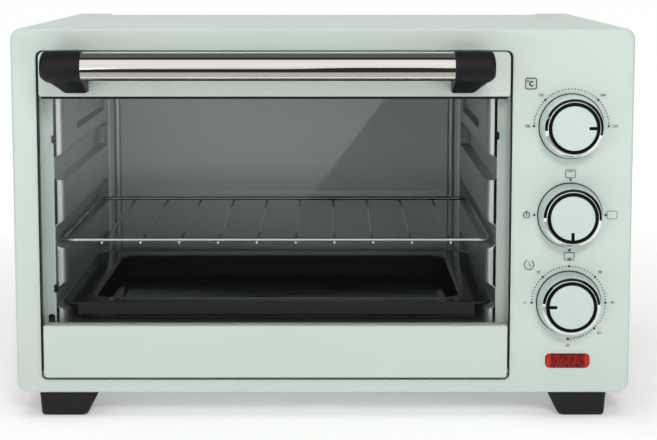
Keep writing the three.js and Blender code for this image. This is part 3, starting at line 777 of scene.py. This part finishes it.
def cavity_rear():
    """Rear wall with a bead down each side and a crease across it."""
    grid = []
    for z in np.linspace(MOUTH[2] - 0.6, MOUTH[3] + 0.6, 70):
        row = []
        crease = 0.5 * (1 - smooth(z, 115, 121))
        for off in np.linspace(-CAVITY_HALF - 0.4, CAVITY_HALF + 0.4, 200):
            bead = smooth(abs(off), 135.4, 136.6) * (1 - smooth(abs(off), 138.4, 139.6))
            bead *= smooth(z, 54, 58) * (1 - smooth(z, 224, 228))
            row.append((DOOR_X + off, CAVITY_REAR + 0.4 - 1.9 * float(bead) - float(crease), z))
        grid.append(row)
    wall = sheet_from_grid("cavity_rear_wall_pressed", grid, 0.4)
    finished(wall, "case", "cavity_steel", "cavity_rear_wall")


def mouth_clips():
    """Small dark spring clips that hold the cavity's walls at its mouth."""
    left, right = MOUTH[0], MOUTH[1]
    flange = RECESS_Y[1]
    parts = []
    for x, way, z in ((left, 1, 190.5), (left, 1, 87), (right, -1, 193)):
        tongue = around(x, z, 1.2, 2.6)
        parts.append(slab("clip", at_y, tongue, 0.5, flange - 1.3, flange + 1.2, 0.3, 0.1))
        hook = around(x + way * 0.6, z, 1.5, 1.1)
        parts.append(slab("clip", at_y, hook, 0.4, flange - 1.7, flange - 1.0, 0.2, 0.1))
    finished(merged("mouth_clips", parts), "case", "black_plastic")


def heater(node):
    """Steel-sheathed heating tube with a ceramic bead and a crimp at each end."""
    (x0, x1), ys, zs = span(node)
    centre = (middle(ys), middle(zs))
    bead_r = (zs[1] - zs[0]) / 2
    bead_length = 7.7
    crimp_r = HEATER_R - 0.35
    end = [(HEATER_R - 0.3, -3), (HEATER_R, -2.6), (HEATER_R, 6)]
    end += [(crimp_r, 6.6), (crimp_r, 7.6), (HEATER_R, 8.2)]
    profile = [(r, x0 + bead_length + d) for r, d in end]
    profile += [(r, x1 - bead_length - d) for r, d in reversed(end)]
    sheath = turned(node + "_sheath", at_x, centre, profile, steps=40)
    finished(sheath, "case", "heater_tube", node)
    bead = ((bead_r - 0.6, 0), (bead_r, 0.6), (bead_r, bead_length - 0.8), (bead_r - 0.8, bead_length))
    beads = []
    for start, way in ((x0, 1), (x1, -1)):
        beads.append(turned("bead", at_x, centre, [(r, start + way * d) for r, d in bead], steps=40))
    finished(merged(node + "_beads", beads), "case", "ceramic")


# ---- Door ------------------------------------------------------------------------------------


def rail(node, radii, fold, tuck, slot_z):
    """Folded rail: a rounded face, returned round its edge, hollow behind and slotted for the pane."""
    xs, (_, depth), zs = span(node)
    box = (*xs, *zs)
    rings = slab_rings(at_y, box, radii, 0, depth, fold, 0)
    inner = outline(grow(box, -RAIL_SHEET), shrink(radii, RAIL_SHEET))
    made = lofted(node + "_enamel", rings + [at_y(depth, inner), at_y(tuck, inner)])
    cut(made, [slab("cutter", at_y, (xs[0] - 2, xs[1] + 2, *slot_z), 0, *GLASS_SLOT)])
    finished(made, "door", "mint_enamel", node)


def handle_tube():
    radius = (HANDLE[2][1] - HANDLE[2][0]) / 2
    centre = (middle(HANDLE[1]), middle(HANDLE[2]))
    x0, x1 = HANDLE[0]
    profile = rounded_profile([(radius, x0), (radius, x1), (radius - 1, x1), (radius - 1, x0)], 0.3)
    tube = turned("handle_tube_polished", at_x, centre, profile, closed=True, steps=96)
    finished(tube, "door", "polished_steel", "handle_tube")


def bracket_section(inset):
    """Side view of a handle bracket as (y, z) points, drawn in by inset."""
    cy, cz = middle(HANDLE[1]), middle(HANDLE[2])
    radius = BRACKET_R - inset
    low = BRACKET_LOW + inset
    points = [(-0.3 - inset, low), (-0.3 - inset, 250 - inset)]
    for angle in np.radians(np.linspace(80, 285, 27)):
        points.append((cy + radius * math.cos(angle), cz + radius * math.sin(angle)))
    return points + [(-16 + inset * 0.3, low + 2), (-13.4, low)]


def handle_bracket(node, side):
    """Moulded handle end, rounded towards the outside, with its lower outer corner cut off."""
    inner = span(node)[0][0 if side > 0 else 1]
    rings = []
    for along, inset in (
        (0, 0.6),
        (0.2, 0.2),
        (0.7, 0),
        (22.6, 0),
        (24.6, 0.25),
        (25.6, 0.8),
        (26.1, 1.6),
        (BRACKET_WIDTH, 2.6),
    ):
        ring = []
        for y, z in bracket_section(inset):
            top = (max(0, z - middle(HANDLE[2])) / BRACKET_R) ** 2
            below = max(0, BRACKET_CUT - z)
            corner = 1.05 * below * below / (below + 3.5)
            ring.append((inner + side * along * (1 - (top + corner) / BRACKET_WIDTH), y, z))
        rings.append(ring)
    finished(lofted(node + "_moulded", rings), "door", "black_plastic", node)


def door_gap_shade():
    """Black lining in the gap beside and over the door: painted shade, a dark sheet where the gap is in
    shadow.
    """
    left, right, low, top = OPENING
    outer = outline((left + 0.05, right - 0.05, low + 0.3, top - 0.05), OPENING_R)
    inner = outline((left + 0.85, right - 0.85, low + 0.35, top - 0.5), OPENING_R)
    shade_lining = framed("door_gap_shade", outer, inner, 1.1, 7.5)
    cut(shade_lining, [slab("cutter", at_y, (left - 1, right + 1, low - 1, low + 6), 0, 0, 9)])
    finished(shade_lining, "case", "black_plastic")


def pane_top_shade():
    """Black strip between the pane and the upper rail: painted shade, a dark sheet where the gap at the
    pane's top edge is in shadow.
    """
    (left, right), (face, _), _ = GLASS
    strip = (left + 1.5, right - 1.5, UPPER[2][0] - 1.7, UPPER[2][0] + 2)
    finished(slab("pane_top_shade", at_y, strip, 0.8, face - 1.6, face - 0.05, 0.5), "door", "black_plastic")


# ---- Controls --------------------------------------------------------------------------------

# Sections of a knob's pieces: (radius, y) pairs.
# Black ring on the case round a knob's foot: painted shade, a dark sheet where the gap under the skirt is
# in shadow.
GAP_SHADE_RING = ((20.4, 0.1), (22.25, 0.1), (22.25, -0.3), (20.4, -0.3))
SKIRT = (
    (20.4, -0.7), (21.3, -0.65), (21.65, -1.0), (21.65, -1.8),
    (20.25, -12.9), (20.0, -13.6), (19.6, -13.95), (18.6, -14.0),
)
TRIM = ((17.25, -14.1), (19.6, -14.1), (19.6, -14.5), (17.7, -16.15), (17.25, -16.2))
INSERT = ((15.0, -14.2), (17.15, -14.2), (17.15, -16.2), (15.0, -16.6))
CAP = (
    (14.9, -14.4), (14.9, -16.3), (14.75, -16.62), (14.4, -16.8),
    (12.0, -16.86), (6.0, -16.9), (0.5, -16.92),
)


def pointer_bar(z, angle):
    """Raised bar that points from a knob's middle at an angle."""
    bar = slab("bar", at_y, (9.6, 16.2, -1.1, 1.1), 1.0, -17.05, -14.8, 0.2)
    for vertex in bar.data.vertices:
        u, v = vertex.co.x / MM, vertex.co.z / MM
        vertex.co.x = (KNOB_X + u * math.cos(angle) - v * math.sin(angle)) * MM
        vertex.co.z = (z + u * math.sin(angle) + v * math.cos(angle)) * MM
    return bar


def knob(name):
    """Tapered skirt, chrome ring, black insert with its pointer and cap, over a black ring on the case that
    is painted shade for the gap round the knob.
    """
    z = KNOBS[name]
    centre = (KNOB_X, z)
    node = name + "_knob"
    body = name + "_control"
    # Painted shade: a black ring on the case where the gap round the knob is in shadow.
    finished(hoop(node + "_gap_shade_ring", centre, GAP_SHADE_RING, 0.1), "case", "black_plastic")
    finished(turned(node + "_skirt", at_y, centre, SKIRT), body, "mint_plastic", node)
    finished(hoop(node + "_trim", centre, TRIM, 0.22), body, "chrome", node + "_ring")
    bar = pointer_bar(z, math.radians(POINTER[name]))
    insert = merged(node + "_pointer", [hoop("rim", centre, INSERT, 0.25), bar])
    finished(insert, body, "knob_black", node + "_insert", slot="black_plastic")
    finished(turned(node + "_face", at_y, centre, CAP), body, "mint_plastic", node + "_cap")


def dot(u, v, radius):
    return lofted("dot", [circle(at_y, (u, v), radius, y, 16) for y in PRINT_Y])


def frame_mark(box, radius, line):
    """Outline of a rounded rectangle as printed ink."""
    outer = outline(grow(box, line / 2), radius + line / 2, 4)
    inner = outline(grow(box, -line / 2), radius - line / 2, 4)
    return framed("frame", outer, inner, *PRINT_Y)


def stroke(start, end, width):
    """Straight printed line."""
    a, b = np.array(start, float), np.array(end, float)
    along = (b - a) / np.linalg.norm(b - a)
    across = np.array((-along[1], along[0])) * width / 2
    flat = [tuple(p) for p in (a - across, b - across, b + across, a + across)]
    return lofted("stroke", [at_y(y, flat) for y in PRINT_Y])


def arc_mark(centre, radius, start, end, width):
    """Printed arc."""
    steps = max(4, int(abs(end - start) / 12))
    outer, inner = [], []
    for k in range(steps + 1):
        angle = math.radians(start + (end - start) * k / steps)
        for side, r in ((outer, radius + width / 2), (inner, radius - width / 2)):
            side.append((centre[0] + r * math.cos(angle), centre[1] + r * math.sin(angle)))
    flat = outer + inner[::-1]
    n = len(flat)
    faces = [(i, (i + 1) % n, n + (i + 1) % n, n + i) for i in range(n)]
    for k in range(steps):
        for base in (0, n):
            faces.append((base + k, base + k + 1, base + n - 2 - k, base + n - 1 - k))
    return mesh_object("arc", at_y(PRINT_Y[0], flat) + at_y(PRINT_Y[1], flat), faces)


def digits(text, u, v, size):
    """Printed characters, centred on a point of the panel."""
    curve = bpy.data.curves.new("digits", "FONT")
    curve.body = text
    curve.size = size * MM
    curve.extrude = 0.03 * MM
    curve.align_x = "CENTER"
    curve.align_y = "CENTER"
    obj = linked("digits", curve)
    bpy.context.view_layer.update()
    mesh = bpy.data.meshes.new_from_object(obj.evaluated_get(bpy.context.evaluated_depsgraph_get()))
    bpy.data.objects.remove(obj)
    for vertex in mesh.vertices:
        x, up, out = vertex.co
        vertex.co = (x + u * MM, FRONT - curve.extrude - out, up + v * MM)
    return linked("digits", mesh)


def on_dial(z, angle, radius):
    return (KNOB_X + radius * math.cos(math.radians(angle)), z + radius * math.sin(math.radians(angle)))


def scale_marks(z, start, end, majors):
    """Ring of small dots from start to end degrees, with bigger ones and numbers at the majors."""
    parts = [dot(*on_dial(z, a, DIAL_R), 0.42) for a in range(end, start + 1, 5) if a not in majors]
    for angle, text in majors.items():
        parts.append(dot(*on_dial(z, angle, DIAL_R), 0.85))
        parts.append(digits(text, *on_dial(z, angle, DIAL_R + 4.6), 2.6))
    return parts


def oven_icon(u, v, *bars):
    """Oven chamber with a bar for each heater that is on, at its height in the chamber."""
    parts = [frame_mark(around(u, v, 3.3, 2.6), 0.7, 0.35)]
    return parts + [stroke((u - 1.8, v + bar), (u + 1.8, v + bar), 0.4) for bar in bars]


def temperature_marks():
    z = KNOBS["temperature"]
    u, v = KNOB_X - 27.5, z + 28.8
    parts = scale_marks(z, 180, 0, {180: "100", 135: "150", 45: "200", 0: "230"})
    parts.append(frame_mark(around(u, v, 3.6, 3.6), 1.1, 0.6))
    parts.append(arc_mark((u + 0.5, v - 0.1), 1.45, 50, 310, 0.85))
    parts.append(arc_mark((u - 2.1, v + 1.8), 0.5, 0, 350, 0.4))
    return parts


def function_marks():
    z = KNOBS["function"]
    off_x = KNOB_X - 29.4
    parts = [dot(*on_dial(z, angle, DIAL_R - 1), 0.85) for angle in (0, 90, 180, 270)]
    parts += oven_icon(KNOB_X + 28.6, z)
    parts += oven_icon(KNOB_X, z + 28.2, 1.5)
    parts += oven_icon(KNOB_X, z - 28.4, -1.5)
    parts.append(arc_mark((off_x, z), 2.1, 0, 350, 0.5))
    parts.append(stroke((off_x, z - 0.4), (off_x, z + 2.9), 0.5))
    return parts


def timer_marks():
    z = KNOBS["timer"]
    u, v = KNOB_X - 27.3, z + 26.2
    majors = {180: "0", 135: "10", 90: "20", 45: "30", 0: "40", -45: "50", -90: "60"}
    parts = scale_marks(z, 180, -90, majors)
    parts.append(arc_mark((u, v), 3.3, 110, 420, 0.45))
    parts.append(stroke((u, v), (u, v + 2.2), 0.4))
    parts.append(stroke((u, v), (u + 1.5, v - 0.9), 0.4))
    return parts


def dial_print(name, marks):
    made = merged(name + "_dial_print", marks())
    finished(made, "case", "dial_ink", slot="black_plastic")


def indicator():
    """Neon lens: a rounded bar with clear ends and a ribbed middle, held by a collar behind the panel."""
    collar = (*LENS[0], *LENS[2])
    window = grow(collar, -2.2)
    parts = [slab("lens", at_y, window, 2.9, -1.1, 4.3, 0.8, 0.2)]
    parts.append(slab("collar", at_y, grow(collar, -0.1), 3, 1.2, 2.5, 0.3, 0.3))
    for u in np.linspace(window[0] + 3.4, window[1] - 3.4, 9):
        rib = (u - 0.45, u + 0.45, window[2] + 1.1, window[3] - 1.1)
        parts.append(slab("rib", at_y, rib, 0.4, -1.2, -0.6, 0.12))
    finished(merged("indicator_lens_ribbed", parts), "case", "red_lens", "indicator_lens")


# ---- Rack and tray ---------------------------------------------------------------------------


def wire_rack():
    """Bent frame wire with ten straight wires welded under it."""
    frame_r, wire_r = 1.5, 1.0
    z = RACK[2][1] - frame_r
    loop = outline((RACK[0][0] + frame_r, RACK[0][1] - frame_r, 31, 242), 10, 10)
    parts = [swept("frame", at_z(z, loop), frame_r, 16, closed=True)]
    for k in range(10):
        x = DOOR_X + 27 * (k - 4.5)
        path = [(x, y, z - 2.0) for y in np.linspace(RACK[1][0] + 0.1, RACK[1][1] - 0.1, 5)]
        parts.append(bevelled(swept("wire", path, wire_r), 0.2, 2, 50))
    finished(merged("wire_rack_welded", parts), "rack", "rack_wire", "wire_rack", slot="chrome")


def baking_tray():
    """Enamelled tray with a wide rim, a soft-cornered well and a front lip turned down."""
    rim = (*TRAY[0], *TRAY[1])
    low, top = TRAY[2]
    sheet = 0.7
    above, below = [], []
    for inset, z, r in (
        (0.0, top - 1.2, 12),
        (0.05, top - 0.5, 12),
        (0.5, top - 0.05, 12),
        (1.6, top, 12),
        (18.2, top - 0.25, 15),
        (19.4, top - 0.35, 16),
        (20.6, top - 1.0, 16),
        (21.3, top - 2.2, 16),
        (24.3, low + 5.2, 14),
        (25.4, low + 2.8, 13),
        (27.4, low + 1.2, 12),
        (30.5, low + 0.75, 10),
    ):
        above.append(at_z(z, outline(grow(rim, -inset), r, 10)))
        under_box = grow(rim, -max(inset - 0.6, sheet))
        below.append(at_z(max(z - sheet, low), outline(under_box, r, 10)))
    pressing = lofted("pressing", below[::-1] + above)
    y = TRAY[1][0]
    section = [(y + 2.4, top - 0.9), (y + 1.0, top - 0.5), (y + 0.25, top - 1.2), (y, top - 2.6)]
    section += [(y, 66.4), (y + 0.4, 66), (y + 0.8, 66.4), (y + 0.8, top - 2.2), (y + 1.4, top - 1.5)]
    lip = lofted("lip", [at_x(x, section) for x in (TRAY[0][0] + 12, TRAY[0][1] - 12)])
    tray = merged("baking_tray_enamelled", [pressing, lip])
    finished(tray, "tray", "black_enamel", "baking_tray")


# ---- Fasteners and the small CAD parts -------------------------------------------------------


def screw(x, z):
    """Pan-head screw with a cross recess, in the rear panel."""
    head = ((3.1, -0.05), (3.2, 0.3), (3.0, 0.9), (2.5, 1.3), (1.6, 1.55), (0.6, 1.62))
    made = turned("screw", at_y, (x, z), [(r, REAR_FACE + d) for r, d in head], steps=28)
    for half_x, half_z in ((1.7, 0.35), (0.35, 1.7)):
        recess = around(x, z, half_x, half_z)
        cut(made, [slab("cross", at_y, recess, 0.1, REAR_FACE + 0.7, REAR_FACE + 2.2)])
    return made


def casing_screws():
    """Screws that hold the rear panel."""
    spots = [(x, z) for x in (-198, 198) for z in (30, 140, 245)]
    spots += [(-90, 258), (90, 258), (-90, 26), (60, 26)]
    finished(merged("casing_screws", [screw(x, z) for x, z in spots]), "case", "zinc_steel")


EDGE_WIDTH = {"rear_panel": 0.15, "base_plate": 0.15, "cord_gland": 0.3, "terminal_block": 0.4}


def refined(node, slot):
    """The CAD node's own shape with merged faces and broken edges."""
    source = frame["nodes"][node]
    mesh = source.data.copy()
    work = bmesh.new()
    work.from_mesh(mesh)
    bmesh.ops.remove_doubles(work, verts=work.verts, dist=1e-6)
    bmesh.ops.dissolve_limit(work, angle_limit=math.radians(1), verts=work.verts, edges=work.edges)
    work.to_mesh(mesh)
    work.free()
    obj = bevelled(linked(node + "_finished", mesh), EDGE_WIDTH.get(node, 0.12), 2, 40)
    finished(obj, source["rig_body"], slot, node)


def remaining_nodes():
    """Every CAD node that no finer piece stands for yet: the pane keeps its shape."""
    slots = {part["node"]: part["material_slot"] for part in frame["record"]["subparts"]}
    for node in sorted(frame["nodes"]):
        source = frame["nodes"][node]
        if node == "door_glass":
            source.data.materials.clear()
            source.data.materials.append(LOOKS["pane_glass"])
        elif not source.hide_render:
            refined(node, slots[node])


# ---- Stage: metres ---------------------------------------------------------------------------

AMBIENT = 0.2

# Where the edge of the glow that the pane reflects lies on the table card, as (x, y).
GLOW_EDGE = ((0.1515, -3.037), (-0.0401, -0.990))
GLOW_FADE = (-1.6, -0.95)
GLOW = 0.86
NEAR_TABLE = 0.55
NEAR_TABLE_Y = (-0.45, -0.41)

# Name, place, target, size and watts.
LIGHTS = (
    ("key", (0.28, -1.9, 1.12), (0, 0, 0.12), (0.6, 0.45), 14.8),
    ("top", (-0.1, -0.1, 1.6), (0, 0, 0.12), (1.3, 1.1), 12),
    ("left", (-0.8, -1.6, 0.55), (0.12, 0.1, 0.14), (0.4, 0.5), 3.6),
    ("right", (0.75, -1.6, 0.5), (-0.2, 0.1, 0.14), (0.4, 0.5), 0.8),
)

SENSOR = 36
LENS_LENGTH = 96.28
SHIFT_Y = -0.08
CAMERA_PLACE = (0.003089, FRONT - 1.179843, 0.315134)
CAMERA_PITCH = 0.119867
CAMERA_YAW = 0.000658


def card(name, corners, material):
    """Flat card of the stage."""
    mesh = bpy.data.meshes.new(name)
    mesh.from_pydata(corners, [], [range(k, k + 4) for k in range(0, len(corners), 4)])
    mesh.materials.append(material)
    obj = linked(name, mesh)
    return obj


def level(x, y, z):
    """Corners of a level card."""
    return [(x[0], y[0], z), (x[1], y[0], z), (x[1], y[1], z), (x[0], y[1], z)]


def floor():
    look = Look("floor_paint", Roughness=0.9, Specular_IOR_Level=0.1, Emission_Color=(1, 1, 0.99, 1))
    distance = look.nodes.new("ShaderNodeVectorMath")
    distance.operation = "LENGTH"
    look.feed(distance.inputs[0], look.place)
    # Emission rises from 0.3 near the oven to 0.8 further out: it lifts the floor to white, and its lower
    # value near the oven is painted shade round the oven's foot.
    glow = look.ranged(distance.outputs["Value"], 0.3, 0.8, 0.4, 1.3)
    look.feed(look.shader.inputs["Emission Strength"], glow)
    look.paint(look.ranged(look.noise(0.7, 2)), (0.9, 0.9, 0.895), (0.915, 0.915, 0.91))
    card("floor", level((-14, 14), (-6, 22), 0), look.material)


def only_reflected(obj):
    for ray in ("camera", "diffuse", "transmission", "volume_scatter", "shadow"):
        setattr(obj, "visible_" + ray, False)


def side_flags():
    """Black flags beside the oven that give the chrome rings their dark arcs."""
    look = Look("flag_cloth", Roughness=0.9, Specular_IOR_Level=0.0)
    look.paint(look.noise(40, 2), (0.004, 0.004, 0.004), (0.012, 0.012, 0.012))
    sides = ((-0.75, 0.01), (0.1, 0.01), (0.1, 0.9), (-0.75, 0.9))
    for name, x in (("flag_left", -0.75), ("flag_right", 0.75)):
        only_reflected(card(name, [(x, y, z) for y, z in sides], look.material))


def table_card():
    """Dark runner in front of the oven, seen only in reflections, that glows on one side."""
    look = Look("table_card_glow")
    across, away = look.along("X"), look.along("Y")
    (xa, ya), (xb, yb) = GLOW_EDGE
    slope = (xa - xb) / (ya - yb)
    edge = look.calc("MULTIPLY_ADD", away, -slope, slope * ya - xa)
    side = look.ranged(look.calc("ADD", across, edge), 1, 0, -0.002, 0.002)
    fade = look.ranged(away, 1, 0, *GLOW_FADE)
    far_glow = look.ranged(look.calc("MULTIPLY", side, fade), 0.03, GLOW, 0, 1)
    near_glow = look.ranged(away, 0, NEAR_TABLE, *NEAR_TABLE_Y)
    strength = look.calc("MAXIMUM", near_glow, far_glow)
    emission = look.add("Emission", Color=(1, 0.97, 0.93, 1), Strength=strength)
    look.replace_shader(emission.outputs["Emission"])
    z = 0.002
    near_half = level((-0.3, 0.3), (-0.44, -0.18), z)
    far_half = [(-0.95, -6, z), (0.95, -6, z), (0.3, -0.44, z), (-0.3, -0.44, z)]
    only_reflected(card("table_card", near_half + far_half, look.material))


def area_light(name, place, target, size, power):
    light = bpy.data.lights.new(name, "AREA")
    light.shape = "RECTANGLE"
    light.size, light.size_y = size
    light.energy = power
    obj = linked(name, light)
    obj.location = place
    obj.rotation_euler = (Vector(target) - Vector(place)).to_track_quat("-Z", "Y").to_euler()
    obj.visible_glossy = False


def world():
    """White for the camera, an even light for surfaces, and studio panels for reflections."""
    made = bpy.data.worlds.new("studio")
    made.use_nodes = True
    made.node_tree.nodes.clear()
    sky = Nodes(made.node_tree, "Generated")
    y, z = sky.along("Y"), sky.along("Z")
    ahead = sky.calc("MULTIPLY", sky.ranged(y, 1, 0, -0.5, -0.36), sky.ranged(z, 1, 0, 0.88, 0.93))
    behind = sky.calc("MULTIPLY", sky.ranged(y, 0, 1, 0.3, 0.6), sky.ranged(z, 1, 0, 0.3, 0.5))
    low_band = sky.ranged(z, 1, 0, -0.02, 0.04)
    dark = sky.ranged(y, 0.03, 0.13, -0.1, -0.04)
    panels = sky.calc("MAXIMUM", ahead, sky.calc("MAXIMUM", low_band, behind))
    rays = sky.add("LightPath").outputs
    glossy, camera_ray = rays["Is Glossy Ray"], rays["Is Camera Ray"]
    reflected = sky.calc("MULTIPLY", sky.calc("MAXIMUM", panels, dark), glossy)
    other = sky.calc("SUBTRACT", 1, sky.calc("MAXIMUM", glossy, camera_ray))
    light = sky.calc("ADD", reflected, sky.calc("MULTIPLY", other, AMBIENT))
    strength = sky.calc("ADD", light, camera_ray)
    background = sky.add("Background", Color=(1, 1, 0.99, 1), Strength=strength)
    sky.add("OutputWorld", Surface=background.outputs["Background"])
    bpy.context.scene.world = made


def camera():
    lens = bpy.data.cameras.new("camera")
    lens.sensor_width = SENSOR
    lens.lens = LENS_LENGTH
    lens.shift_y = SHIFT_Y
    lens.clip_end = 60
    obj = linked("camera", lens)
    obj.location = CAMERA_PLACE
    obj.rotation_euler = (math.radians(90) - CAMERA_PITCH, 0, -CAMERA_YAW)
    bpy.context.scene.camera = obj


# ---- Assembly --------------------------------------------------------------------------------

front_panel()
outer_cover()
for row in ("front", "rear"):
    for hand in ("left", "right"):
        foot(f"foot_{row}_{hand}")
cavity_side("cavity_left_wall", -1)
cavity_side("cavity_right_wall", 1)
cavity_rear()
mouth_clips()
for height in ("upper", "lower"):
    for row in ("front", "rear"):
        heater(f"heater_{height}_{row}")
rail("door_upper_rail", (2, 2, 4, 4), 1.1, 1.6, (UPPER[2][0] - 3, GLASS[2][1] + 0.3))
rail("door_lower_rail", (2.6, 2.6, 1.6, 1.6), 1.5, 1.8, (GLASS[2][0] - 0.3, LOWER[2][1] + 3))
handle_tube()
handle_bracket("handle_bracket_left", -1)
handle_bracket("handle_bracket_right", 1)
door_gap_shade()
pane_top_shade()
for control in KNOBS:
    knob(control)
dial_print("temperature", temperature_marks)
dial_print("function", function_marks)
dial_print("timer", timer_marks)
indicator()
wire_rack()
baking_tray()
casing_screws()
remaining_nodes()
floor()
table_card()
side_flags()
world()
for light in LIGHTS:
    area_light(*light)
camera()
bpy.context.scene.view_settings.view_transform = "Standard"
